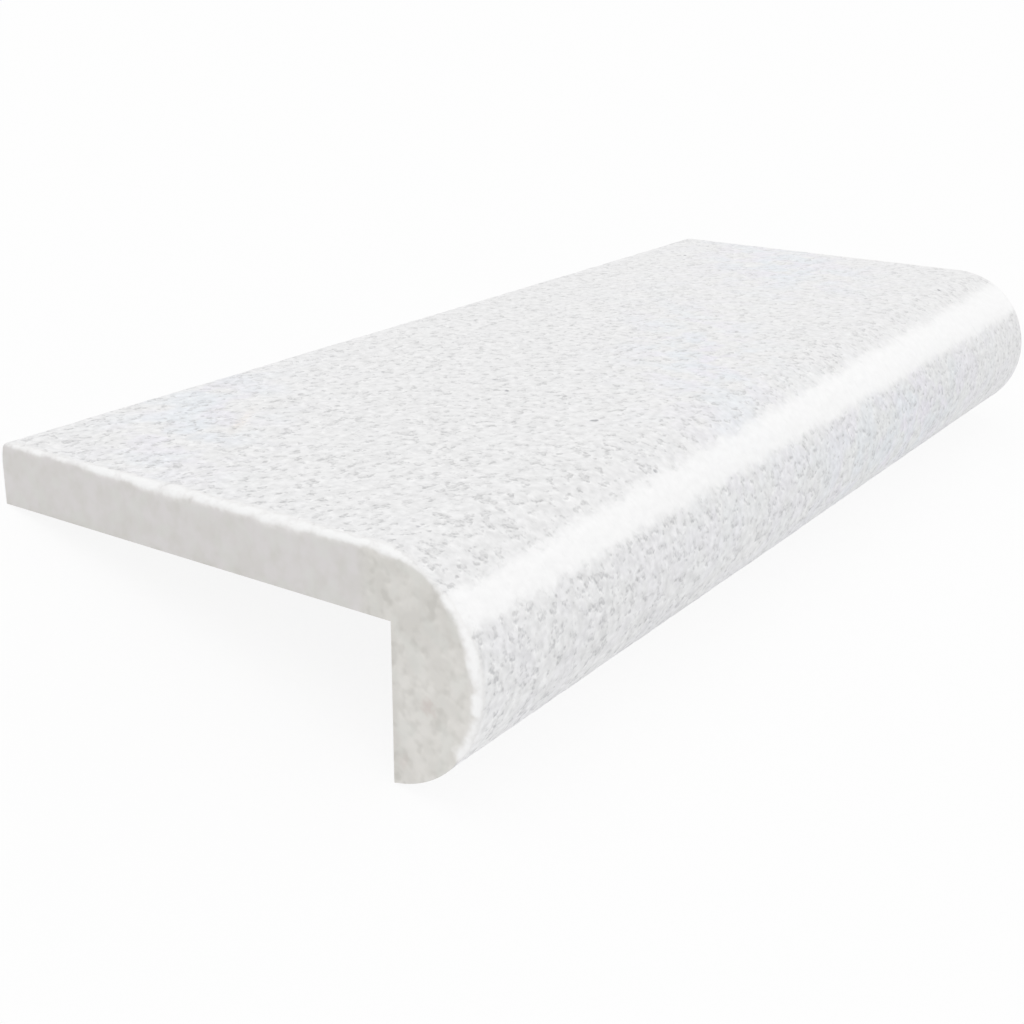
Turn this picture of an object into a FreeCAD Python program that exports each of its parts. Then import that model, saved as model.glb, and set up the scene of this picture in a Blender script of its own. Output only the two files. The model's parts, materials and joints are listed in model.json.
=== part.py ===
import FreeCAD, Part
import math
import os

import Sketcher

# Drop-face pool coping stone: one piece of pale granite that caps the top of a pool wall.
#
# Lengths are millimetres. The stone is shaped in its laid position: X runs along the pool's edge,
# Y from the water (-Y, the round nose) to the paving (+Y, the square back), Z up from the foot.
# A block with one long side rounded to a full bullnose has a rebate sawn out below and behind, which
# leaves a slab that beds on the wall and a dropped edge that covers the wall's face. The sawn ends
# and the back meet the textured top at small hand-eased arrises.
#
# Laid on nothing but a floor, the slab's back tips down until it touches, so the finished body is
# turned to that resting place, its origin under the middle of its box.

SIZES = {
    "stone_length": (650, "along the pool's edge, sawn end to sawn end"),
    "stone_depth": (270, "from the front of the nose to the back"),
    "slab_thickness": (30, "of the slab that beds on the wall"),
    "drop_height": (100, "from the top face to the foot, all of it taken by the round nose"),
    "drop_thickness": (42, "from the front of the nose to the drop's inner face"),
    "arris_radius": (3.5, "of the eased edges round the top face"),
}

SAME_PLACE = 1e-4          # two coordinates closer than this are one place
SAME_VOLUME = 1e-6         # relative difference between the worked out and the built volume

FIRST, LAST, CENTRE = 1, 2, 3      # a line's or an arc's start, end and centre, as a sketch counts them
SKETCH_ORIGIN = (-1, 1)            # the sketch's own origin, as a constraint names it


def add_sizes(doc):
    """Writes each driving dimension, its name and its meaning into one row of the sheet."""
    sheet = doc.addObject("Spreadsheet::Sheet", "Sizes")
    for row, (name, (value, meaning)) in enumerate(SIZES.items(), start=1):
        sheet.set(f"A{row}", name)
        sheet.set(f"B{row}", str(value))
        sheet.set(f"C{row}", meaning)
        sheet.setAlias(f"B{row}", name)
    doc.recompute()
    return sheet


def add_section_sketch(body, name):
    """Starts a sketch across the stone's length: its x is the stone's Y and its y the stone's Z."""
    cross_plane = [plane for plane in body.Origin.OriginFeatures if plane.Role == "YZ_Plane"][0]
    sketch = body.newObject("Sketcher::SketchObject", name)
    sketch.AttachmentSupport = [(cross_plane, "")]
    sketch.MapMode = "FlatFace"
    return sketch


def bind(sketch, constraint, name, expression):
    """Adds a constraint, names it and ties it to the sheet."""
    index = sketch.addConstraint(constraint)
    sketch.renameConstraint(index, name)
    sketch.setExpression(f"Constraints.{name}", expression)


def draw_blank_section(body, size):
    """The block's section: a square back and, towards the water, one half circle as high as the block."""
    sketch = add_section_sketch(body, "BlankSection")
    back = size["stone_depth"] / 2
    high = size["drop_height"]
    nose = high / 2
    nose_y = nose - back
    points = {
        "nose_top": FreeCAD.Vector(nose_y, high, 0),
        "back_top": FreeCAD.Vector(back, high, 0),
        "back_foot": FreeCAD.Vector(back, 0, 0),
        "nose_foot": FreeCAD.Vector(nose_y, 0, 0),
    }
    half_circle = Part.Circle(FreeCAD.Vector(nose_y, nose, 0), FreeCAD.Vector(0, 0, 1), nose)
    top = sketch.addGeometry(Part.LineSegment(points["nose_top"], points["back_top"]), False)
    rear = sketch.addGeometry(Part.LineSegment(points["back_top"], points["back_foot"]), False)
    under = sketch.addGeometry(Part.LineSegment(points["back_foot"], points["nose_foot"]), False)
    bullnose = sketch.addGeometry(Part.ArcOfCircle(half_circle, math.pi / 2, 3 * math.pi / 2), False)

    sketch.addConstraint(Sketcher.Constraint("Coincident", top, LAST, rear, FIRST))
    sketch.addConstraint(Sketcher.Constraint("Coincident", rear, LAST, under, FIRST))
    sketch.addConstraint(Sketcher.Constraint("Tangent", bullnose, FIRST, top, FIRST))
    sketch.addConstraint(Sketcher.Constraint("Tangent", under, LAST, bullnose, LAST))
    sketch.addConstraint(Sketcher.Constraint("Horizontal", top))
    sketch.addConstraint(Sketcher.Constraint("Horizontal", under))
    sketch.addConstraint(Sketcher.Constraint("Vertical", rear))
    sketch.addConstraint(Sketcher.Constraint("PointOnObject", under, FIRST, -1))
    bind(sketch, Sketcher.Constraint("DistanceY", rear, LAST, rear, FIRST, high),
         "height", "Sizes.drop_height")
    bind(sketch, Sketcher.Constraint("DistanceX", *SKETCH_ORIGIN, rear, LAST, back),
         "back_place", "Sizes.stone_depth / 2")
    bind(sketch, Sketcher.Constraint("DistanceX", bullnose, CENTRE, rear, LAST, back - nose_y),
         "nose_to_back", "Sizes.stone_depth - Sizes.drop_height / 2")
    return sketch


def draw_rebate_section(body, size):
    """The corner that is sawn out for the pool wall: behind the drop and below the slab."""
    sketch = add_section_sketch(body, "RebateSection")
    back = size["stone_depth"] / 2
    inner = size["drop_thickness"] - back
    bed = size["drop_height"] - size["slab_thickness"]
    corners = [
        FreeCAD.Vector(inner, 0, 0),
        FreeCAD.Vector(back, 0, 0),
        FreeCAD.Vector(back, bed, 0),
        FreeCAD.Vector(inner, bed, 0),
    ]
    foot, rear, ceiling, cheek = [
        sketch.addGeometry(Part.LineSegment(corners[side], corners[(side + 1) % 4]), False)
        for side in range(4)
    ]
    for one, following in ((foot, rear), (rear, ceiling), (ceiling, cheek), (cheek, foot)):
        sketch.addConstraint(Sketcher.Constraint("Coincident", one, LAST, following, FIRST))
    sketch.addConstraint(Sketcher.Constraint("Horizontal", foot))
    sketch.addConstraint(Sketcher.Constraint("Horizontal", ceiling))
    sketch.addConstraint(Sketcher.Constraint("Vertical", rear))
    sketch.addConstraint(Sketcher.Constraint("Vertical", cheek))
    sketch.addConstraint(Sketcher.Constraint("PointOnObject", foot, FIRST, -1))
    bind(sketch, Sketcher.Constraint("DistanceX", *SKETCH_ORIGIN, rear, FIRST, back),
         "back_place", "Sizes.stone_depth / 2")
    bind(sketch, Sketcher.Constraint("DistanceX", foot, FIRST, foot, LAST, back - inner),
         "rebate_depth", "Sizes.stone_depth - Sizes.drop_thickness")
    bind(sketch, Sketcher.Constraint("DistanceY", rear, FIRST, rear, LAST, bed),
         "rebate_height", "Sizes.drop_height - Sizes.slab_thickness")
    return sketch


def is_top_edge(edge, size):
    """True for the edges round the top face and down the nose, where the textured skin stops."""
    box = edge.BoundBox
    half_length = size["stone_length"] / 2
    on_an_end = box.XLength < SAME_PLACE and abs(abs(box.XMin) - half_length) < SAME_PLACE
    in_the_top = abs(box.ZMin - size["drop_height"]) < SAME_PLACE
    at_the_back = abs(box.YMin - size["stone_depth"] / 2) < SAME_PLACE
    round_the_nose = isinstance(edge.Curve, Part.Circle)
    return (on_an_end and (in_the_top or round_the_nose)) or (in_the_top and at_the_back)


def foot_rise(size):
    """Height of the drop's inner lower edge: a thin drop ends before the nose has come round to level."""
    nose = size["drop_height"] / 2
    short_of_level = max(0.0, nose - size["drop_thickness"])
    return nose - math.sqrt(nose ** 2 - short_of_level ** 2)


def section_area(size):
    """Area of the blank less the rebate, the nose's sliver below the foot edge counted out."""
    nose = size["drop_height"] / 2
    blank = (size["stone_depth"] - nose) * size["drop_height"] + math.pi * nose ** 2 / 2
    rebate = (size["stone_depth"] - size["drop_thickness"]) * (size["drop_height"] - size["slab_thickness"])
    short_of_level = max(0.0, nose - size["drop_thickness"])
    under_arc = nose * short_of_level - (
        short_of_level * math.sqrt(nose ** 2 - short_of_level ** 2)
        + nose ** 2 * math.asin(short_of_level / nose)
    ) / 2
    return blank - rebate + under_arc


def build_stone(doc, size):
    """Pads the blank, saws the rebate through it and eases the arrises."""
    body = doc.addObject("PartDesign::Body", "CopingStone")
    body.Label = "coping_stone"

    blank = body.newObject("PartDesign::Pad", "Blank")
    blank.Profile = draw_blank_section(body, size)
    blank.SideType = "Symmetric"
    blank.setExpression("Length", "Sizes.stone_length")

    rebate = body.newObject("PartDesign::Pocket", "Rebate")
    rebate.Profile = draw_rebate_section(body, size)
    rebate.Type = "ThroughAll"
    rebate.SideType = "Symmetric"
    doc.recompute()

    sawn = rebate.Shape
    expected = section_area(size) * size["stone_length"]
    if abs(sawn.Volume - expected) > SAME_VOLUME * expected:
        raise ValueError(f"the sawn stone holds {sawn.Volume:.0f} mm3, not {expected:.0f} mm3")

    arris = body.newObject("PartDesign::Fillet", "Arris")
    edges = [f"Edge{i}" for i, edge in enumerate(sawn.Edges, start=1) if is_top_edge(edge, size)]
    arris.Base = (rebate, edges)
    arris.setExpression("Radius", "Sizes.arris_radius")
    body.Tip = arris
    doc.recompute()
    print(f"{len(edges)} edges eased, {sawn.Volume - arris.Shape.Volume:.0f} mm3 worn off")
    return body


def lay_at_rest(body, size):
    """Tips the stone back until the bed's back edge is as low as the foot, and stands it on z = 0."""
    rise = size["drop_height"] - size["slab_thickness"] - foot_rise(size)
    run = size["stone_depth"] - size["drop_thickness"]
    tilt = math.degrees(math.atan2(rise, run))
    turn = FreeCAD.Rotation(FreeCAD.Vector(-1, 0, 0), tilt)
    box = body.Shape.transformed(turn.toMatrix()).optimalBoundingBox(False)
    body.Placement = FreeCAD.Placement(FreeCAD.Vector(0, -box.Center.y, -box.ZMin), turn)
    print(f"rests tipped back by {tilt:.2f} degrees")


def check(doc, body):
    """Stops before anything is written if a feature failed or the stone isn't one good solid."""
    for item in doc.Objects:
        if {"Invalid", "Error"} & set(item.State):
            raise RuntimeError(f"{item.Label} didn't build: {item.State}")
    shape = body.Shape
    if shape.isNull() or not shape.isValid() or len(shape.Solids) != 1:
        raise RuntimeError(f"{body.Label} isn't one valid solid")


def main():
    doc = FreeCAD.newDocument("PoolCoping")
    sheet = add_sizes(doc)
    size = {name: float(sheet.get(name)) for name in SIZES}
    stone = build_stone(doc, size)
    lay_at_rest(stone, size)
    doc.recompute()
    check(doc, stone)

    os.makedirs("parts", exist_ok=True)
    stone.Shape.exportStep(f"parts/{stone.Label}.step")
    box = stone.Shape.optimalBoundingBox(False)
    print(f"{stone.Label}: {stone.Shape.Volume / 1e6:.3f} litres, "
          f"{box.XLength:.1f} x {box.YLength:.1f} x {box.ZLength:.1f} mm")


main()
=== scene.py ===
# %% [markdown]
# # A drop-face pool coping stone
#
# This stone caps the top of a pool wall. It is sawn from one block of pale granite: a flat slab that beds
# on the wall, and a dropped front edge, rounded to a full bullnose, that hides the wall's face. The top
# and the nose are flamed, which bursts small crystals off the surface and leaves a fine, non-slip grain.
# The ends, the back and the underside stay as the saw left them.
#
# The lesson makes one mesh and one material. The mesh is the stone's section carried along its length,
# with the grain as real relief. The material paints the crystals, the warm sawn ends, the pale worn edges
# and a pale band along the nose, all from nodes. The pale edges are partly wear and partly a painted
# highlight, and the band along the nose is a painted highlight.

# %% Load the imported model
import json
import math

import bpy
import numpy as np
from mathutils import Matrix, Vector


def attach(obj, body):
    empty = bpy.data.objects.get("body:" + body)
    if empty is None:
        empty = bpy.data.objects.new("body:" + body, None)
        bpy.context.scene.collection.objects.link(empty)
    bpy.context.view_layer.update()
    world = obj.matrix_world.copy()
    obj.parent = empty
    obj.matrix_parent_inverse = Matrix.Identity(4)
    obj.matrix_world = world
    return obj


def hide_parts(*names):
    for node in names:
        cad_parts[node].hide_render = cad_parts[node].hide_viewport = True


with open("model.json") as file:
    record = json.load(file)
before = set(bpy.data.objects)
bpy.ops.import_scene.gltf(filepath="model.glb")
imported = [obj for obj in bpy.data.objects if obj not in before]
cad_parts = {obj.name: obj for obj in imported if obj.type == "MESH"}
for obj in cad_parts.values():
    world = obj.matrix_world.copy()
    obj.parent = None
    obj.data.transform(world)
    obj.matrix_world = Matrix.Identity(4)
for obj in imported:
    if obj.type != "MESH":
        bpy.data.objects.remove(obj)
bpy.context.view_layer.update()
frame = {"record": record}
MM = 0.001
NODE = "coping_stone"

# %% [markdown]
# ## The stone's sizes and its resting place
#
# The stone is easiest to describe as it is laid, with its top level. But unheld on a floor it tips back on
# the foot of its drop until the slab's back touches down, and that is how the model stores it. So this
# lesson works in the laid position and turns everything by the tilt at the end. The sizes come from the
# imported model: its mounts say where the faces lie, and the node's own vertices give the rest.
#
# The nose is one circle that touches the top face and the front and ends at the foot's inner edge. With
# the drop's thickness d and its fall f, that circle's radius is d + f - sqrt(2 d f).

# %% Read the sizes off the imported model
mounts = {mount["name"]: mount for mount in frame["record"]["mounts"]}
up_y, up_z = mounts["top_face"]["axis"][1:]
TILT = math.atan2(up_y, up_z)
TO_REST = Matrix.Rotation(-TILT, 4, "X")


def laid(point):
    """A point of the resting stone, turned back about the X axis so that the top is level."""
    return TO_REST.inverted() @ Vector(point)


corners = bpy.data.objects[NODE].data.vertices
places = np.empty(len(corners) * 3)
corners.foreach_get("co", places)
places = places.reshape(-1, 3) @ np.array(TO_REST.to_3x3())     # a row times R is R's inverse times it

LENGTH = np.ptp(places[:, 0])
FRONT, FOOT = places[:, 1].min(), places[:, 2].min()
BACK = laid(mounts["back_face"]["pos_m"]).y
TOP = laid(mounts["top_face"]["pos_m"]).z
BED = laid(mounts["bed"]["pos_m"]).z
INNER = laid(mounts["drop_inner_face"]["pos_m"]).y
drop, fall = INNER - FRONT, TOP - FOOT
NOSE = drop + fall - math.sqrt(2 * drop * fall)
print(f"tilt {math.degrees(TILT):.2f} degrees; length {LENGTH / MM:.1f}, depth {(BACK - FRONT) / MM:.1f}, "
      f"slab {(TOP - BED) / MM:.1f}, drop {drop / MM:.1f}, nose radius {NOSE / MM:.2f} mm")

# %% [markdown]
# ## The camera
#
# The camera was found by fitting the stone's straight edges and its round nose to the photograph. Its
# place is kept as a distance from the middle of the back's top edge, and its aim as three plain angles in
# the laid position. The lens is the photograph's focal length in pixels, written for a sensor 36 mm wide.
# The stone's upright edges stay nearly parallel in the photograph, which takes a small shift of the lens.
# Then the camera is turned by the same tilt as the stone.

# %% Place the camera
IMAGE_PX = 1024
FOCAL_PX = 1530.7
SHIFT_PX = -80
SENSOR_MM = 36.0
CAMERA_FROM_BACK_EDGE = Vector((-0.7392, -0.5711, 0.2128))
CAMERA_TURN = math.radians(55.28)       # from +Y towards +X
CAMERA_DOWN = math.radians(17.31)
CAMERA_ROLL = math.radians(0.16)


def aim(turn, down, roll):
    """The camera's axes as columns: right, up and backwards, for a turn about Z, a dip and a roll."""
    forward = Vector((math.sin(turn) * math.cos(down), math.cos(turn) * math.cos(down), -math.sin(down)))
    right = Vector((math.cos(turn), -math.sin(turn), 0.0))
    up = right.cross(forward)
    leaning_right = right * math.cos(roll) + up * math.sin(roll)
    leaning_up = up * math.cos(roll) - right * math.sin(roll)
    return Matrix((leaning_right, leaning_up, -forward)).transposed()


camera_data = bpy.data.cameras.new("photo_camera")
camera_data.sensor_width = SENSOR_MM
camera_data.lens = SENSOR_MM * FOCAL_PX / IMAGE_PX
camera_data.shift_y = SHIFT_PX / IMAGE_PX
camera_data.clip_start = 0.01
camera_data.clip_end = 100.0
camera = bpy.data.objects.new("photo_camera", camera_data)
bpy.context.collection.objects.link(camera)
camera_place = Vector((0.0, BACK, TOP)) + CAMERA_FROM_BACK_EDGE
laid_camera = Matrix.Translation(camera_place) @ aim(CAMERA_TURN, CAMERA_DOWN, CAMERA_ROLL).to_4x4()
camera.matrix_world = TO_REST @ laid_camera
bpy.context.scene.camera = camera
print(f"lens {camera_data.lens:.2f} mm, {camera.matrix_world.translation.length:.3f} m from the origin")

# %% [markdown]
# ## The section as one closed loop
#
# The section is an L with a round nose. Its outline is six stretches, each a straight run or an arc, so
# the loop needs only a start, an end and a spacing for each. The skin, which is the part that is flamed,
# gets points every 1.9 mm, because its relief has to be real. The sawn faces are flat and need few.

# %% Work out the section's outline
SKIN_STEP = 1.9 * MM
BACK_STEP = 3 * MM
SAWN_STEP = 15 * MM
ARRIS = 3.5 * MM
ARRIS_STEP = math.radians(22.5)


def straight(start, end, step):
    """Evenly spaced points start + t (end - start), with t from 0 to just before 1."""
    start, end = np.array(start), np.array(end)
    count = max(1, round(np.linalg.norm(end - start) / step))
    return start + np.arange(count)[:, None] / count * (end - start)


def round_part(centre, radius, first, last, step):
    """Points centre + radius (-sin a, cos a): the angle a runs from +Z towards the water, -Y."""
    count = max(1, round(abs(last - first) / step))
    angle = first + np.arange(count) / count * (last - first)
    return np.array(centre) + radius * np.c_[-np.sin(angle), np.cos(angle)], angle


nose_centre = (FRONT + NOSE, TOP - NOSE)
foot_angle = math.pi - math.asin((nose_centre[0] - INNER) / NOSE)
arris_run, _ = round_part((BACK - ARRIS, TOP - ARRIS), ARRIS, -math.pi / 2, 0.0, ARRIS_STEP)
nose_run, nose_angle = round_part(nose_centre, NOSE, 0.0, foot_angle, SKIN_STEP / NOSE)
runs = {
    "back": straight((BACK, BED), (BACK, TOP - ARRIS), BACK_STEP),
    "arris": arris_run,
    "top": straight((BACK - ARRIS, TOP), (nose_centre[0], TOP), SKIN_STEP),
    "nose": nose_run,
    "inner": straight((INNER, FOOT), (INNER, BED), SAWN_STEP),
    "bed": straight((INNER, BED), (BACK, BED), SAWN_STEP),
}
loop = np.concatenate(list(runs.values()))
which = np.repeat(list(runs), [len(run) for run in runs.values()])
print("points in the section:", {name: len(run) for name, run in runs.items()})

# %% [markdown]
# ## Which way is out, and how far along
#
# Relief and worn edges both move a point in or out of the stone. At a point of the loop, out is the mitre
# of the two edges that meet there: the sum of their normals over one plus their dot product. On a flat
# run that is the plain normal, and at a corner it keeps both faces in their planes. The distance along
# the loop is the second coordinate of every pattern on the skin, so a pattern flows over the nose.

# %% Mitres and distances along the loop
def mitres(points):
    """For a closed loop run with its inside on the left: (n1 + n2) / (1 + n1 . n2) at every point."""
    edge = np.roll(points, -1, axis=0) - points
    normal = np.c_[edge[:, 1], -edge[:, 0]] / np.linalg.norm(edge, axis=1)[:, None]
    before = np.roll(normal, 1, axis=0)
    return (before + normal) / (1 + (before * normal).sum(1))[:, None]


out = mitres(loop)
along = np.r_[0.0, np.cumsum(np.linalg.norm(np.diff(loop, axis=0), axis=1))]
is_skin = np.isin(which, ("arris", "top", "nose"))
print(f"the loop is {along[-1] / MM:.0f} mm round, {np.ptp(along[is_skin]) / MM:.0f} mm of it skin")

# %% [markdown]
# ## Noise for the relief
#
# A flamed face has no flat spots and no tool marks: it is hills and pits of all sizes, from a palm's width
# down to single crystals. Value noise gives that. Random heights sit on a square lattice, a smooth curve
# joins them, and several lattices of falling cell size are added. All of it works on whole arrays.

# %% Value noise on arrays
def value_noise(u, v, cell, seed):
    """Random heights from -1 to 1 on a lattice of that cell, joined by the curve t t (3 - 2 t)."""
    u, v = (u - u.min()) / cell, (v - v.min()) / cell
    heights = np.random.default_rng(seed).uniform(-1, 1, (int(u.max()) + 2, int(v.max()) + 2))
    i, j = u.astype(int), v.astype(int)
    s, t = u - i, v - j
    s, t = s * s * (3 - 2 * s), t * t * (3 - 2 * t)
    near = heights[i, j] * (1 - t) + heights[i, j + 1] * t
    far = heights[i + 1, j] * (1 - t) + heights[i + 1, j + 1] * t
    return near * (1 - s) + far * s


def layered_noise(u, v, layers, seed):
    """The sum of value noises, each layer a cell size and a height."""
    return sum(height * value_noise(u, v, cell, seed + n) for n, (cell, height) in enumerate(layers))


# %% [markdown]
# ## How far each edge is eased
#
# An arris is an edge that the mason eases by hand so that it neither chips nor cuts a foot, and a
# hand-eased arris is never even. At the left end it is small at the back corner, about 3.5 mm along the
# top, little over 1 mm where the nose turns over and about 2.7 mm down its front, and it dies out at the
# toe, which keeps its sawn edge. The right end is eased less. So the radius is a list of knots along the
# loop, joined up and made uneven.

# %% Radius of the eased edges
UNEVEN = [(34 * MM, 0.14), (13 * MM, 0.14), (6 * MM, 0.10)]     # lengths along the loop, and shares
RIGHT_EASED = 0.6           # the right end's radius, as a share of the knots'


def round_the_nose(degrees):
    """The distance along the loop of a place on the nose, given by its angle from straight up."""
    return along[which == "nose"][0] + NOSE * math.radians(degrees)


back_edge = along[which == "arris"][0]
arris_knots = np.array([
    (back_edge - 5 * MM, 0.0),
    (back_edge, 1.2 * MM),
    (back_edge + 6 * MM, 1.8 * MM),
    (back_edge + 80 * MM, 3.5 * MM),
    (round_the_nose(5), 3.5 * MM),
    (round_the_nose(28), 1.3 * MM),
    (round_the_nose(50), 1.8 * MM),
    (round_the_nose(75), 2.7 * MM),
    (round_the_nose(95), 2.4 * MM),
    (round_the_nose(108), 2.0 * MM),
    (round_the_nose(124), 2.0 * MM),
    (round_the_nose(131), 0.0),
])


def arris_radius(seed):
    """The eased radius at each loop point: the knots joined up, times one plus a soft unevenness."""
    uneven = layered_noise(along, np.zeros_like(along), UNEVEN, seed)
    return np.interp(along, arris_knots[:, 0], arris_knots[:, 1]) * (1 + uneven)


left_radius = arris_radius(seed=11)
right_radius = arris_radius(seed=47) * RIGHT_EASED
print(f"arrises up to {left_radius.max() / MM:.2f} mm left and {right_radius.max() / MM:.2f} mm right")

# %% [markdown]
# ## Stations along the length
#
# The loop is repeated at stations along X. At each end the last stations turn the skin through a quarter
# circle into the sawn end. One more ring lies flat in the end face, inside the arris, and between the two
# the end's finish starts. It is wider round the nose, where the rubbing block leant over the sawn end and
# left a softer line.

# %% Stations and the eased ends
EDGE_ZONE = 9 * MM          # the last part of each end, which holds the arris
RUN_IN = 3                  # steps from the even stations to the start of the arris
ROUND_STEPS = 6             # steps round the quarter circle
LEAST_RING = 1.2 * MM
RING_SHARE = 0.75           # the ring's distance from the arris, as a share of the eased radius
NOSE_RING = 0.9 * MM        # and how much wider it is round the nose
NOSE_STARTS = (math.radians(20), math.radians(45))
LEAST_REACH = 0.4 * MM      # how far the same stations spread where the edge is left sharp
MIDDLE_STATIONS = 340
LEFT, RIGHT = -1, 1


def smooth_step(low, high, value):
    """0 below low, 1 above high, and t t (3 - 2 t) between."""
    t = np.clip((value - low) / (high - low), 0, 1)
    return t * t * (3 - 2 * t)


angle_round = np.zeros(len(loop))
angle_round[which == "nose"] = nose_angle
round_nose = smooth_step(*NOSE_STARTS, angle_round)


def end_stations(side, radius):
    """Depth from the end = reach (1 - sin a) and inset = radius (1 - cos a), with the ring last."""
    reach = np.maximum(radius, LEAST_REACH)
    turn = np.linspace(0, np.pi / 2, ROUND_STEPS + 1)[:, None]
    lead = np.linspace(1, 0, RUN_IN + 1)[1:-1, None]
    depth = np.concatenate([reach + (EDGE_ZONE - reach) * lead, reach * (1 - np.sin(turn)), [0 * reach]])
    ring = radius + np.maximum(RING_SHARE * radius, LEAST_RING) + NOSE_RING * round_nose
    inset = np.concatenate([0 * reach * lead, radius * (1 - np.cos(turn)), [ring]])
    return side * (LENGTH / 2 - depth), inset


left_x, left_inset = end_stations(LEFT, left_radius)
right_x, right_inset = end_stations(RIGHT, right_radius)
middle = np.linspace(-1, 1, MIDDLE_STATIONS) * (LENGTH / 2 - EDGE_ZONE)
X = np.concatenate([left_x[::-1], np.repeat(middle[:, None], len(loop), axis=1), right_x])
inset = np.concatenate([left_inset[::-1], np.zeros((MIDDLE_STATIONS, len(loop))), right_inset])
ALONG = np.broadcast_to(along, X.shape)
print(f"{len(X)} stations by {len(loop)} points: {2 * X.size} triangles")

# %% [markdown]
# ## The relief
#
# Flaming takes stone off, it adds none, so the relief only goes inwards from the true section, by about a
# third of a millimetre. It stops at the sawn faces and calms down on the arrises, which were rubbed after
# the flame. The crown of the nose is rubbed too: a band along it is smoother than the rest, and the
# material paints a highlight on it that makes it paler, with a soft upper edge and a quicker lower one. The
# band widens a little towards the right.

# %% Relief on the skin
RELIEF = [(60 * MM, 0.08 * MM), (22 * MM, 0.08 * MM), (9 * MM, 0.10 * MM), (4.5 * MM, 0.12 * MM)]
RELIEF_MEAN = -0.30 * MM
CROWN_TOP = (math.radians(19), math.radians(40))
CROWN_FOOT = (math.radians(52), math.radians(67))
CROWN_WIDENS = math.radians(13)
CROWN_SINKS = math.radians(2)
RUBBED_DOWN = 0.7           # share of the relief that rubbing takes off the arrises and the crown

from_right = 0.5 - X / LENGTH
above_foot = 1 - smooth_step(*CROWN_FOOT, angle_round - CROWN_SINKS * from_right)
# the crown's band: its relief is smoother, and the material paints a highlight along it
crown = smooth_step(*CROWN_TOP, angle_round - CROWN_WIDENS * from_right) * above_foot
near_end = 1 - smooth_step(0, EDGE_ZONE, LENGTH / 2 - abs(X))
rough = is_skin * (1 - RUBBED_DOWN * near_end) * (1 - RUBBED_DOWN * crown)
relief = np.minimum(rough * (RELIEF_MEAN + layered_noise(X, ALONG, RELIEF, seed=5)), 0.0)
print(f"relief from {relief.min() / MM:.2f} to {relief.max() / MM:.2f} mm")

# %% [markdown]
# ## The mesh
#
# A vertex is the loop's point moved along its mitre by relief less inset. The faces join each station to
# the next with quads, and one flat polygon closes each end. Shading is smooth, apart from the sharp sawn
# edges.

# %% Build the mesh
SHARP_ANGLE = math.radians(35)

lift = relief - inset
Y = loop[:, 0] + out[:, 0] * lift
Z = loop[:, 1] + out[:, 1] * lift
points = np.stack([X, Y, Z], -1).reshape(-1, 3) @ np.array(TO_REST.to_3x3()).T

stations, around = X.shape
index = np.arange(stations * around).reshape(stations, around)
following = np.roll(index, -1, axis=1)
quads = np.stack([index[:-1], following[:-1], following[1:], index[1:]], -1).reshape(-1, 4)
ends = [index[0][::-1].tolist(), index[-1].tolist()]

mesh = bpy.data.meshes.new("dressed_stone")
mesh.from_pydata(points, [], quads.tolist() + ends)
mesh.validate()
mesh.update()
mesh.shade_smooth()
mesh.set_sharp_from_angle(angle=SHARP_ANGLE)
stone = bpy.data.objects.new("dressed_stone", mesh)
bpy.context.collection.objects.link(stone)
print(f"{len(mesh.vertices)} vertices, {len(mesh.polygons)} faces")

# %% [markdown]
# ## Numbers that ride on the vertices
#
# The material can't know what the mason did where, so the mesh tells it. Each vertex carries how flamed
# the surface is, how worn the arris, how near the rubbed crown and how far round on the drop's front. The
# arris's pale band and the crown's band also carry a painted highlight.
# Numbers on vertices are the simplest way here, because the mesh was made in rows: each row round an arris
# gets its own share of wear.

# %% How flamed and how worn each vertex is
# how pale the arris band is: partly wear, partly a painted highlight
# from the ring in the sawn end, round the arris, to the run-in on the skin
WORN_AND_HIGHLIT_ROUND = (0.0, 0.35, 0.6, 0.8, 0.9, 0.9, 0.75, 0.5, 0.2, 0.0)
WORN_AND_HIGHLIT_ROUND_NOSE = (0.0, 0.65, 0.8, 0.9, 0.9, 0.8, 0.6, 0.35, 0.1, 0.0)
FLAMED_ROUND = (0.0, 0.0, 0.1, 0.35, 0.65, 0.9, 1.0, 1.0, 1.0, 1.0)
FULL_ARRIS = 2.8 * MM       # an arris of this radius shows all its wear and all its painted highlight
WORN_AND_HIGHLIT_AT_BACK = 0.3
FRONT_STARTS = (math.radians(50), math.radians(75))


def paint(name, values):
    """Stores one number for each vertex, for the material to read by name."""
    layer = mesh.attributes.new(name, "FLOAT", "POINT")
    layer.data.foreach_set("value", np.asarray(values, np.float32).ravel())
    print(f"{name}: {values.min():.2f} to {values.max():.2f}")


on_arris = np.zeros((stations, around))
on_arris[:, which == "arris"] = WORN_AND_HIGHLIT_AT_BACK
flamed = np.tile(is_skin.astype(float), (stations, 1))
for step, flamed_there in enumerate(FLAMED_ROUND):
    worn_and_highlit_there = WORN_AND_HIGHLIT_ROUND[step] + (WORN_AND_HIGHLIT_ROUND_NOSE[step] - WORN_AND_HIGHLIT_ROUND[step]) * round_nose
    on_arris[step] = worn_and_highlit_there * np.clip(left_radius / FULL_ARRIS, 0, 1)
    on_arris[-1 - step] = worn_and_highlit_there * np.clip(right_radius / FULL_ARRIS, 0, 1)
    flamed[[step, -1 - step]] *= flamed_there

paint("flamed", flamed)
paint("arris", np.clip(on_arris, 0, 1))
paint("crown", crown)
paint("front", np.tile(smooth_step(*FRONT_STARTS, angle_round), (stations, 1)))

# %% [markdown]
# ## Cool patches and a rust streak
#
# Granite is never one tint. In a few long patches it turns cooler, slanting on the top and level on the
# front, and in one place iron has drawn a thin brown streak out of the top. Each is a soft ellipse on the
# unrolled skin, given by its middle, its reach both ways and its slant. It fades as exp(-distance squared),
# so it has no edge, and patches that meet simply add up.

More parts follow.
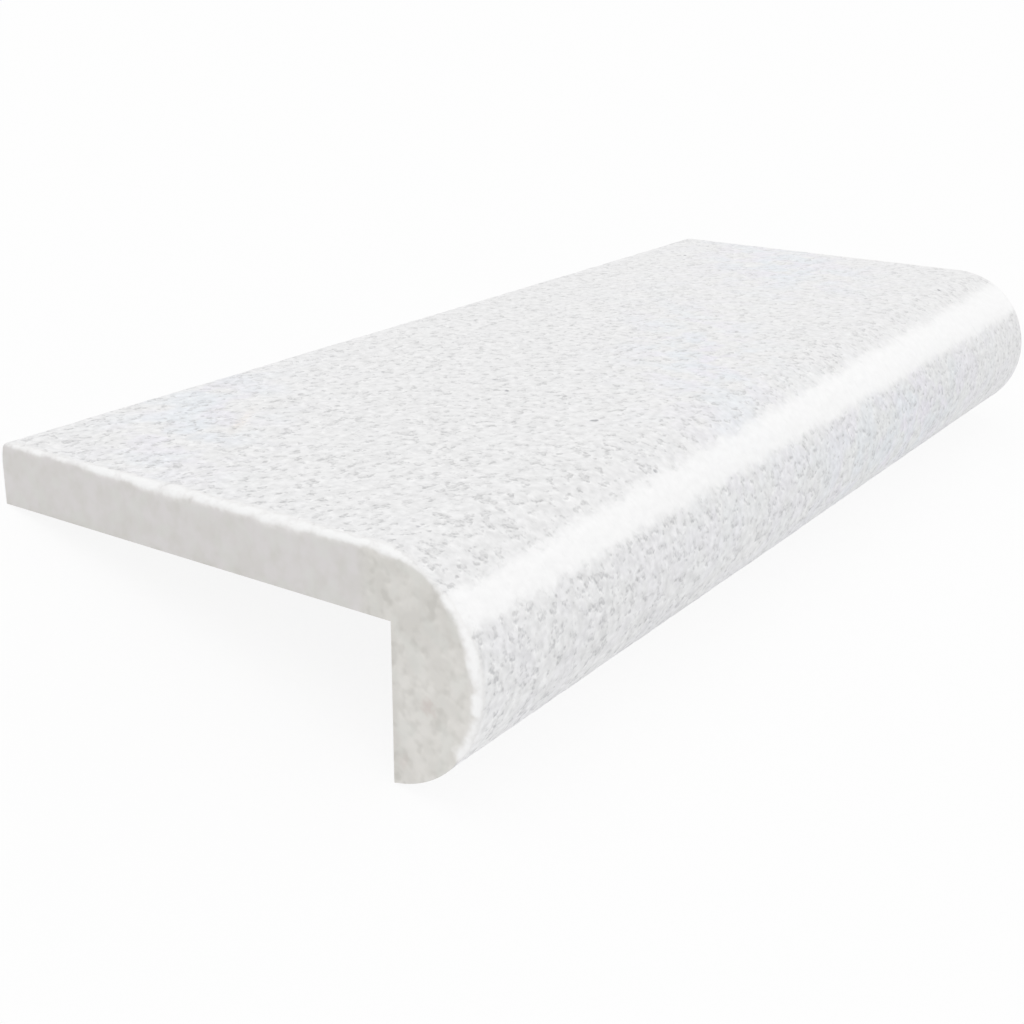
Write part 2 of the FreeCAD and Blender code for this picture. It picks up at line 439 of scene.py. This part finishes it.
# %% Cool patches and the rust streak
# each patch: its middle along the length and from the back edge, its reach both ways, its slant in degrees
COOL_PATCHES = [
    (-245, 45, 90, 34, -35),
    (0, 188, 125, 36, -35),
    (270, 110, 95, 50, -35),
    (105, 303, 125, 34, 0),
]
RUST_STREAKS = [(-237, 68, 17, 2.4, -30)]
from_back = (ALONG - back_edge) / MM


def patches(where):
    """The sum of exp(-(l / long)^2 - (w / wide)^2), l and w the distances along and across each patch."""
    total = np.zeros_like(X)
    for x, place, long, wide, slant in where:
        over_x, over_place = X / MM - x, from_back - place
        slant = math.radians(slant)
        lengthways = over_x * math.cos(slant) + over_place * math.sin(slant)
        sideways = over_place * math.cos(slant) - over_x * math.sin(slant)
        total += np.exp(-(lengthways / long) ** 2 - (sideways / wide) ** 2)
    return np.clip(total, 0, 1)


paint("cool", patches(COOL_PATCHES))
paint("streak", patches(RUST_STREAKS))

# %% [markdown]
# ## Shader maths as plain expressions
#
# A material is a graph of nodes, but most of what it does is arithmetic. The class below wraps an output
# socket so that it adds, subtracts and multiplies like a number, and each operation adds its Math node.
# One method makes every other kind of node.

# %% A socket that behaves like a number
class Wire:
    """One output socket of a material's node tree."""

    def __init__(self, tree, socket=None):
        self.tree = tree
        self.socket = socket

    def node(self, kind, settings=None, inputs=None, output=0):
        """Adds a node, sets it up, then gives its sockets their values or links, and wraps an output."""
        made = self.tree.nodes.new(kind)
        for name, value in (settings or {}).items():
            setattr(made, name, value)
        for name, value in (inputs or {}).items():
            if isinstance(value, Wire):
                self.tree.links.new(value.socket, made.inputs[name])
            else:
                made.inputs[name].default_value = value
        return Wire(self.tree, made.outputs[output])

    def math(self, operation, first, second):
        """One Math node, between two wires or a wire and a number."""
        return self.node("ShaderNodeMath", {"operation": operation}, {0: first, 1: second})

    def __add__(self, other):
        return self.math("ADD", self, other)

    def __sub__(self, other):
        return self.math("SUBTRACT", self, other)

    def __rsub__(self, other):
        return self.math("SUBTRACT", other, self)

    def __mul__(self, other):
        return self.math("MULTIPLY", self, other)

    __radd__ = __add__
    __rmul__ = __mul__

    def between(self, low, high):
        """0 at low and below, 1 at high and above, and a smooth curve between."""
        return self.node("ShaderNodeMapRange", {"interpolation_type": "SMOOTHSTEP"},
                         {"Value": self, "From Min": low, "From Max": high})


MIX_FACTOR, MIX_A, MIX_B, MIX_RESULT = 0, 6, 7, 2      # a colour Mix node's own socket numbers


def blend(factor, first, second):
    """A colour that goes from the first to the second as the factor goes from 0 to 1."""
    return factor.node("ShaderNodeMix", {"data_type": "RGBA"},
                       {MIX_FACTOR: factor, MIX_A: first, MIX_B: second}, output=MIX_RESULT)


# %% [markdown]
# ## Granite, and the patterns in it
#
# Pale granite is a pack of milky feldspar with glassy grey quartz between and a rare dark mica. The
# pattern runs through the stone, so it is made from the point's own place, in millimetres, and no face has
# a seam. Each pattern is Perlin noise with a cell size of its own, and most are cut to a soft threshold:
# 0 where the noise is below one level, 1 where it is above another. A shift moves each pattern to a part
# of the noise that no other pattern uses.

# %% Start the material, and the noise that it is made from
granite = bpy.data.materials.new("granite")
granite.use_nodes = True
tree = granite.node_tree
start = Wire(tree)
place = start.node("ShaderNodeTexCoord", output="Object")
in_mm = start.node("ShaderNodeVectorMath", {"operation": "SCALE"}, {0: place, "Scale": 1 / MM})

# each pattern: cell in mm, detail, roughness, shift, and the two levels that it rises between
PATTERNS = {
    "pits": (4.8, 1.9, 0.65, 0, 0.52, 0.70),
    "flecks": (9.0, 1.5, 0.5, 310, 0.75, 0.83),
    "violet": (20.0, 2.0, 0.5, 520, 0.44, 0.60),
    "bluish": (26.0, 2.0, 0.5, 610, 0.44, 0.64),
    "grains": (5.5, 1.5, 0.5, 700, 0.44, 0.76),
    "clouds": (9.0, 2.0, 0.5, 745, 0.35, 0.65),
    "green": (11.0, 1.5, 0.5, 820, 0.48, 0.66),
}
STILL = (0.0, 0.0, 0.0)


def noise(cell, detail, roughness=0.5, shift=0, nudge=STILL):
    """Perlin noise about 0.5, with that cell in mm, read at the place plus its shift and a nudge."""
    aside = (shift + nudge[0], 2 * shift + nudge[1], nudge[2])
    moved = start.node("ShaderNodeVectorMath", {"operation": "ADD"}, {0: in_mm, 1: aside})
    return start.node("ShaderNodeTexNoise", {}, {"Vector": moved, "Scale": 1 / cell, "Detail": detail,
                                                 "Roughness": roughness})


def pattern(name, nudge=STILL):
    """One of the patterns above as a mask from 0 to 1, moved by a nudge in mm."""
    cell, detail, roughness, shift, low, high = PATTERNS[name]
    return noise(cell, detail, roughness, shift, nudge).between(low, high)


def painted(name):
    """The number that the vertices carry under that name."""
    return start.node("ShaderNodeAttribute", {"attribute_name": name}, output="Fac")


print(f"{len(PATTERNS)} patterns, with cells of {min(row[0] for row in PATTERNS.values())} mm and up")

# %% [markdown]
# ## Where the stone is rubbed and worn, and where highlights are painted
#
# The painted numbers change smoothly, but wear doesn't: it follows the crystals. So each is pulled about
# by noise before it is cut to its levels, and its edge comes out ragged. The crown's band and the arris's
# band also carry a painted highlight. Where the stone is rubbed or worn, and under these painted
# highlights, the crystals' contrast is lower, and that share is kept as one number, calm.

# %% Rubbed crown and worn arrises, with their painted highlights
CROWN_RAGGED = 0.9
ARRIS_RAGGED, ARRIS_CHIPPED = 2.4, 0.9
RUBBED_AND_HIGHLIT_LEVELS = (0.10, 0.90)
WORN_AND_HIGHLIT_LEVELS = (0.22, 1.0)
RUBBED_AND_HIGHLIT_CALMS, WORN_AND_HIGHLIT_CALMS = 0.72, 0.8

flamed_here, arris_here, crown_here = painted("flamed"), painted("arris"), painted("crown")
front_here, cool_here, streak_here = painted("front"), painted("cool"), painted("streak")
ragged = noise(8.0, detail=2.5, roughness=0.6, shift=90) - 0.5
chipped = noise(3.2, detail=1.5, shift=130) - 0.5
# the band where the crown's highlight is painted, ragged at its edges
rubbed_and_highlit = (crown_here + CROWN_RAGGED * ragged).between(*RUBBED_AND_HIGHLIT_LEVELS)
eased = arris_here * (1 + ARRIS_RAGGED * ragged + ARRIS_CHIPPED * chipped)
# the pale arris band: partly wear, partly a painted highlight
worn_and_highlit = eased.between(*WORN_AND_HIGHLIT_LEVELS)
calm = (1 - RUBBED_AND_HIGHLIT_CALMS * rubbed_and_highlit) * (1 - WORN_AND_HIGHLIT_CALMS * worn_and_highlit)
print(f"{len(tree.nodes)} nodes so far")

# %% [markdown]
# ## The flamed skin
#
# Flamed granite looks white with fine grey pits. A pit is dark where its lip shades it, and the crystal on
# its other side stands proud and catches the light; that shade and that light are painted into the colour.
# So the same noise is read three times, in its place and moved a little both ways: where only the one
# behind is a pit there is a bright rim, a painted highlight, and where the one before isn't there is a dark
# lip, painted shade. Their contrast falls slowly from left to right. The drop's front is slightly cooler,
# with a slate patch right of its middle, and violet and bluish tints come through where the stone is cool.
# In each blend the factor is the share of the new colour.

# %% Colour of the flamed skin
MILKY = (0.850, 0.848, 0.850, 1)
COOL_ON_FRONT = (0.843, 0.845, 0.851, 1)
SLATE = (0.804, 0.830, 0.835, 1)
VIOLET = (0.838, 0.824, 0.880, 1)
BLUISH = (0.812, 0.842, 0.874, 1)
RUST_STREAK = (0.88, 0.82, 0.76, 1)
GLINT = (0.95, 0.95, 0.95, 1)
PIT = (0.50, 0.50, 0.503, 1)
PIT_ON_FRONT = (0.50, 0.503, 0.515, 1)
MICA = (0.20, 0.20, 0.23, 1)
# painted highlight on the nose's crown
PAINTED_CROWN_HIGHLIGHT = (0.955, 0.955, 0.955, 1)
PIT_NUDGE = Vector((0.5, 0.8, 0.7))     # mm
BITE, BITE_FADES = 0.72, 0.00036        # the contrast in the middle, and its loss for each mm east

east = start.node("ShaderNodeSeparateXYZ", {}, {0: in_mm}, output="X")
bite = BITE - BITE_FADES * east
pits = pattern("pits")
# painted highlight on each pit's proud side, and painted shade on its lip
rims = pattern("pits", nudge=PIT_NUDGE) * (1 - pits)
lips = pits * (1 - pattern("pits", nudge=-PIT_NUDGE))

skin = blend(front_here * 0.5, MILKY, COOL_ON_FRONT)
skin = blend(front_here * cool_here * 0.5, skin, SLATE)
skin = blend(pattern("violet") * (0.03 + 0.16 * front_here + 0.8 * cool_here), skin, VIOLET)
skin = blend(pattern("bluish") * (0.02 + 0.9 * cool_here), skin, BLUISH)
skin = blend(streak_here * (0.6 + 1.5 * chipped), skin, RUST_STREAK)
skin = blend(rims * calm * bite * 0.8, skin, GLINT)
skin = blend((0.2 * pits + 0.7 * lips) * calm * bite, skin, blend(front_here, PIT, PIT_ON_FRONT))
skin = blend(pattern("flecks") * calm * 0.85, skin, MICA)
# paint the highlight along the nose's crown
skin = blend(rubbed_and_highlit * 0.85, skin, PAINTED_CROWN_HIGHLIGHT)
print(f"{len(tree.nodes)} nodes so far")

# %% [markdown]
# ## How light the skin is along the stone
#
# Between the pits the tone varies a little from crystal to crystal. The drop's front darkens a little
# towards the right and lightens again over the last part, and the painted highlight on the crown is palest
# at the left end and darkest at the right. Each change is a small share of the colour, and those along the
# stone are given in millimetres east of its middle.

# %% Lightness of the skin
FRONT_PALER, FRONT_FADES = 0.02, 0.00009
FRONT_END, FRONT_END_PALER = (180, 250), 0.018
CROWN_LEFT, CROWN_LEFT_PALER = (-330, -80), 0.040
CROWN_RIGHT, CROWN_RIGHT_DARKER = (80, 190), 0.014
TONE, TONE_ON_FRONT = 0.42, 0.12

tone = noise(3.8, detail=1.2, shift=170) - 0.5
paler_front = front_here * (FRONT_PALER - FRONT_FADES * east + FRONT_END_PALER * east.between(*FRONT_END))
# the crown's painted highlight is palest at the left end and darkest at the right
paler_left = CROWN_LEFT_PALER * (1 - east.between(*CROWN_LEFT))
darker_right = CROWN_RIGHT_DARKER * east.between(*CROWN_RIGHT)
varied = (TONE + TONE_ON_FRONT * front_here) * tone * calm * bite
lighter = 1 + paler_front + rubbed_and_highlit * (paler_left - darker_right) + varied
skin = start.node("ShaderNodeVectorMath", {"operation": "SCALE"}, {0: skin, "Scale": lighter})
print(f"{len(tree.nodes)} nodes so far")

# %% [markdown]
# ## The sawn faces
#
# Sawn, the same granite is smoother, warmer and a shade darker, with grains that the saw cut across and
# clouds of tint. The end of the drop has a tint of its own, darker towards its top and along its inner
# edge. Which part of the end a point is on follows from how far it lies behind the drop's inner face and
# above the slab's underside, so both are worked out first, in the laid position.

# %% Colour of the sawn faces
SAWN = (0.725, 0.703, 0.697, 1)
SAWN_DARK = (0.66, 0.645, 0.615, 1)
SAWN_GREEN = (0.72, 0.73, 0.695, 1)
DROP_SIDE = (0.788, 0.771, 0.738, 1)
DROP_SIDE_DARK = (0.62, 0.605, 0.57, 1)
GRAIN_NUDGE = (0.0, 0.9, 1.4)       # mm
# distances in mm behind the drop's inner face and above the slab's underside
DROP_TINT_ENDS = (9, 18)
DROP_SHADES = (-24, 4)
INNER_LINE_STARTS, INNER_LINE_ENDS, BELOW_SLAB = (-4.5, -1.5), (-0.4, -0.1), (-6, 0)
LOW_EDGE = (0.5, 4.0)
LOW_EDGE_LEVELS = (-0.15, 0.10)


def in_laid(direction):
    """How far along a direction of the laid stone, in mm."""
    return start.node("ShaderNodeVectorMath", {"operation": "DOT_PRODUCT"},
                      {0: in_mm, 1: TO_REST.to_3x3() @ Vector(direction)}, output="Value")


behind = in_laid((0, 1, 0)) - INNER / MM
above = in_laid((0, 0, 1)) - BED / MM
inner_line = behind.between(*INNER_LINE_STARTS) * (1 - behind.between(*INNER_LINE_ENDS))
inner_edge = inner_line * (1 - above.between(*BELOW_SLAB))
low_edge = (1 - above.between(*LOW_EDGE)) * ragged.between(*LOW_EDGE_LEVELS)
grains, clouds = pattern("grains"), pattern("clouds")
proud = pattern("grains", nudge=GRAIN_NUDGE) * (1 - grains)

slab_side = blend(clouds * 0.5 + grains * 0.35 + low_edge * 0.45, SAWN, SAWN_DARK)
shaded = above.between(*DROP_SHADES) * 0.26 + inner_edge * 0.30
drop_side = blend(clouds * 0.35 + grains * 0.55 - proud * 0.25 + shaded, DROP_SIDE, DROP_SIDE_DARK)
sawn = blend(1 - behind.between(*DROP_TINT_ENDS), slab_side, drop_side)
sawn = blend(pattern("green") * 0.35, sawn, SAWN_GREEN)
print(f"{len(tree.nodes)} nodes so far")

# %% [markdown]
# ## Spots on the left end
#
# Iron in the granite has rusted in two small spots on the left end, and a chip has left the stone bare low
# on the nose. Each is a soft ball of colour round a place given from the nose's front and the top. The
# distance to that place is made uneven by the fine noise before it is cut, so the spot's edge is ragged.

# %% Spots on the left end
RUST = (0.60, 0.51, 0.48, 1)
BARE_CHIP = (0.90, 0.89, 0.87, 1)
END_SPOTS = [       # in mm behind the nose's front, below the top, and reach; then strength and colour
    (24.5, 61, 5.5, 0.48, RUST),
    (38.0, 88, 5.0, 0.22, RUST),
    (9.5, 76, 5.5, 0.80, BARE_CHIP),
]
SPOT_RAGGED = 9

for inwards, below, reach, strength, tint in END_SPOTS:
    spot = Vector((-LENGTH / 2, FRONT + inwards * MM, TOP - below * MM)) / MM
    away = start.node("ShaderNodeVectorMath", {"operation": "DISTANCE"},
                      {0: in_mm, 1: TO_REST @ spot}, output="Value")
    near_it = 1 - (away + SPOT_RAGGED * chipped).between(0.0, reach)
    sawn = blend(near_it * strength, sawn, tint)
print(f"{len(END_SPOTS)} spots, {len(tree.nodes)} nodes so far")

# %% [markdown]
# ## Worn edges, painted highlights, gloss and bump
#
# An arris is worn in two tones: a chipped fringe, where the saw's edge crumbled, and inside it a paler
# band, partly bruised by the rubbing block and partly a painted highlight, palest on the nose. Both go over
# the skin and the sawn faces alike. The rubbed crown is a little glossier than the rest. The mesh has no
# relief finer than a few millimetres, so a bump adds the crystals: the pits, the tone's hills and a fine
# grit, all of it calmer where the stone is worn.

# %% Join the colours, and set gloss and bump
CHIPPED = (0.865, 0.85, 0.84, 1)
# the arris band's colours: partly bruising, partly a painted highlight, palest on the nose
BRUISED_AND_HIGHLIT = (0.925, 0.925, 0.923, 1)
BRUISED_AND_HIGHLIT_ON_NOSE = (0.98, 0.98, 0.98, 1)
FRINGE_LEVELS, FRINGE_SHARE = (0.05, 0.60), 0.6
ROUGHNESS, RUBBED_SMOOTHER = 0.62, 0.27
PITS_LOW, GRIT_HIGH, TONE_HIGH = 0.8, 0.3, 1.5
BUMP_HEIGHT = 0.45 * MM

colour = blend(flamed_here, sawn, skin)
colour = blend(eased.between(*FRINGE_LEVELS) * FRINGE_SHARE, colour, CHIPPED)
on_nose = (front_here + rubbed_and_highlit).between(0.0, 1.0)
# paint the pale arris band, partly wear and partly a highlight, palest on the nose
colour = blend(worn_and_highlit, colour, blend(on_nose, BRUISED_AND_HIGHLIT, BRUISED_AND_HIGHLIT_ON_NOSE))
gloss = ROUGHNESS - RUBBED_SMOOTHER * rubbed_and_highlit
grit = noise(1.8, detail=1.0, shift=40)
height = (PITS_LOW * (1 - pits) + GRIT_HIGH * grit + TONE_HIGH * tone) * flamed_here * calm
bumped = start.node("ShaderNodeBump", {}, {"Strength": 1.0, "Distance": BUMP_HEIGHT, "Height": height})

shader = tree.nodes["Principled BSDF"]
tree.links.new(colour.socket, shader.inputs["Base Color"])
tree.links.new(gloss.socket, shader.inputs["Roughness"])
tree.links.new(bumped.socket, shader.inputs["Normal"])
mesh.materials.append(granite)
print(f"granite: {len(tree.nodes)} nodes")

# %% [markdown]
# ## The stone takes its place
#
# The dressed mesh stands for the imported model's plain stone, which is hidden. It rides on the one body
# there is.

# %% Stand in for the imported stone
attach(stone, "root")
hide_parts(NODE)
print(f"{stone.name} stands for {NODE}")

# %% [markdown]
# ## The floor
#
# The floor is white to the camera, as in a product picture, but it still has to take the stone's soft
# shadow. So a matte white is mixed with a plain white that no shadow darkens, and only where the floor is
# seen directly. The light that it throws back onto the stone is that of the matte floor alone.

# %% Floor
FLOOR_HALF = 14.0
FLOOR_MATTE = (0.9, 0.9, 0.9, 1)
WHITE = (1, 1, 1, 1)
FLOOR_WHITE = 0.90          # share of plain white in what the camera sees of the floor


def seen_directly(start):
    """1 for rays from the camera, a reflection or a view through glass, and 0 for the light itself."""
    rays = [start.node("ShaderNodeLightPath", output=name)
            for name in ("Is Camera Ray", "Is Glossy Ray", "Is Transmission Ray")]
    return rays[0] + rays[1] + rays[2]


def white_floor():
    """A wide floor whose diffuse white is mixed with plain white where it is seen directly."""
    material = bpy.data.materials.new("white_floor")
    material.use_nodes = True
    tree = material.node_tree
    tree.nodes.remove(tree.nodes["Principled BSDF"])
    start = Wire(tree)
    matte = start.node("ShaderNodeBsdfDiffuse", {}, {"Color": FLOOR_MATTE})
    plain = start.node("ShaderNodeEmission", {}, {"Color": WHITE, "Strength": 1.0})
    share = seen_directly(start) * FLOOR_WHITE
    shown = start.node("ShaderNodeMixShader", {}, {0: share, 1: matte, 2: plain})
    tree.links.new(shown.socket, tree.nodes["Material Output"].inputs["Surface"])
    sheet = bpy.data.meshes.new("floor")
    corner = np.array([(-1, -1, 0), (1, -1, 0), (1, 1, 0), (-1, 1, 0)], float) * FLOOR_HALF
    sheet.from_pydata(corner, [], [(0, 1, 2, 3)])
    sheet.materials.append(material)
    floor = bpy.data.objects.new("floor", sheet)
    bpy.context.collection.objects.link(floor)


white_floor()
print(f"floor {2 * FLOOR_HALF:.0f} m square")

# %% [markdown]
# ## World and lamps
#
# The white world does most of the work, and it is full white where it is seen. A wide, soft key lamp stands
# almost overhead, a little towards the left end, and makes the top the brightest face. A low lamp before
# the left end lights the drop's front and its end. A small one far along the stone draws the highlight on
# the nose's crown.

# %% World and lamps
WORLD_LEVEL = 0.75


def white_world():
    """A white world that lights the stone at a plain level and is full white where it is seen."""
    world = bpy.data.worlds.new("white_world")
    world.use_nodes = True
    tree = world.node_tree
    start = Wire(tree)
    level = WORLD_LEVEL + (1 - WORLD_LEVEL) * seen_directly(start)
    tree.links.new(level.socket, tree.nodes["Background"].inputs["Strength"])
    tree.nodes["Background"].inputs["Color"].default_value = WHITE
    bpy.context.scene.world = world


def far_lamp(name, towards, strength, wide):
    """A sun lamp: its light comes from a direction of the laid stone, over a disc some degrees wide."""
    data = bpy.data.lights.new(name, "SUN")
    data.energy = strength
    data.angle = math.radians(wide)
    lamp = bpy.data.objects.new(name, data)
    lamp.rotation_euler = (TO_REST.to_3x3() @ Vector(towards)).to_track_quat("Z", "Y").to_euler()
    bpy.context.collection.objects.link(lamp)
    print(f"{name}: strength {strength}, {wide} degrees wide")


white_world()
far_lamp("key_lamp", (-0.28, 0.05, 0.96), strength=0.75, wide=50)
far_lamp("front_lamp", (-0.45, -0.87, -0.19), strength=0.27, wide=30)
far_lamp("crown_lamp", (0.87, -0.31, 0.38), strength=0.12, wide=30)
bpy.context.scene.view_settings.view_transform = "Standard"
